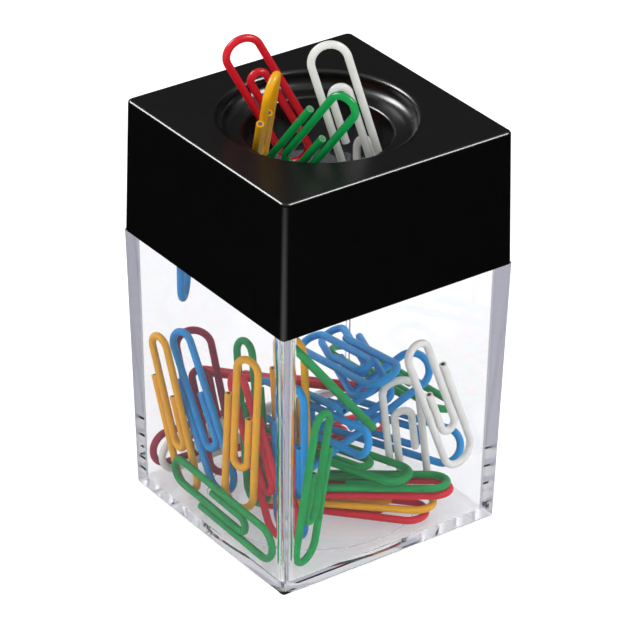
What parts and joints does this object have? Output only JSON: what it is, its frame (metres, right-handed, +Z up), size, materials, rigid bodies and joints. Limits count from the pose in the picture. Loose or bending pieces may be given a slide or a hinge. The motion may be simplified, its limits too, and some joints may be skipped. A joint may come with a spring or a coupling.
{
  "type": "magnetic paper clip holder",
  "caption": "Square clear box with a black lift-off cap whose round magnetic well holds paper clips upright; coloured coated clips lie loose inside.",
  "frame": {"origin": "centre of the box's underside, on the surface it stands on", "axes": "+Z up; X and Y square to the box's sides; the corner between -X and -Y faces the picture"},
  "size_m": [0.044, 0.044, 0.0849],
  "materials": {
    "clear_plastic": "clear crystal polystyrene",
    "black_plastic": "polished black",
    "ferrite": "pressed ferrite",
    "retainer_plastic": "moulded black",
    "vinyl_red": "vinyl-coated steel wire",
    "vinyl_maroon": "vinyl-coated steel wire",
    "vinyl_yellow": "vinyl-coated steel wire",
    "vinyl_blue": "vinyl-coated steel wire",
    "vinyl_green": "vinyl-coated steel wire",
    "vinyl_white": "vinyl-coated steel wire"
  },
  "bodies": {
    "box": {"clear_box": "clear_plastic", "clip_green_01": "vinyl_green", "clip_yellow_01": "vinyl_yellow", "clip_yellow_02": "vinyl_yellow", "clip_green_02": "vinyl_green", "clip_white_01": "vinyl_white", "clip_red_01": "vinyl_red", "clip_yellow_03": "vinyl_yellow", "clip_red_02": "vinyl_red", "clip_green_03": "vinyl_green", "clip_blue_01": "vinyl_blue", "clip_maroon_01": "vinyl_maroon", "clip_white_02": "vinyl_white", "clip_blue_02": "vinyl_blue", "clip_blue_03": "vinyl_blue", "clip_red_03": "vinyl_red", "clip_green_04": "vinyl_green", "clip_maroon_02": "vinyl_maroon", "clip_white_03": "vinyl_white", "clip_green_05": "vinyl_green", "clip_green_06": "vinyl_green", "clip_red_04": "vinyl_red", "clip_white_04": "vinyl_white", "clip_red_05": "vinyl_red", "clip_yellow_04": "vinyl_yellow", "clip_blue_04": "vinyl_blue", "clip_blue_05": "vinyl_blue", "clip_green_07": "vinyl_green", "clip_blue_06": "vinyl_blue", "clip_green_08": "vinyl_green", "clip_blue_07": "vinyl_blue"},
    "cap": {"cap_shell": "black_plastic", "ring_magnet": "ferrite", "magnet_retainer": "retainer_plastic", "clip_blue_08": "vinyl_blue", "clip_white_06": "vinyl_white"},
    "red_well_clip": {"clip_red_06": "vinyl_red"},
    "white_well_clip": {"clip_white_05": "vinyl_white"},
    "green_well_clip": {"clip_green_09": "vinyl_green"},
    "yellow_well_clip": {"clip_yellow_05": "vinyl_yellow"}
  },
  "joints": [
    {"name": "cap_lift", "type": "slide", "parent": "box", "child": "cap", "axis": [0, 0, 1], "range_m": [0, 0.04]},
    {"name": "red_clip_pull", "type": "slide", "parent": "cap", "child": "red_well_clip", "axis": [-0.4845, 0.0169, 0.8746], "range_m": [0, 0.03]},
    {"name": "white_clip_pull", "type": "slide", "parent": "cap", "child": "white_well_clip", "axis": [-0.2207, 0.1918, 0.9563], "range_m": [0, 0.03]},
    {"name": "green_clip_pull", "type": "slide", "parent": "cap", "child": "green_well_clip", "axis": [0.1045, -0.5927, 0.7986], "range_m": [0, 0.03]},
    {"name": "yellow_clip_pull", "type": "slide", "parent": "cap", "child": "yellow_well_clip", "axis": [-0.2323, -0.4763, 0.848], "range_m": [0, 0.03]}
  ]
}
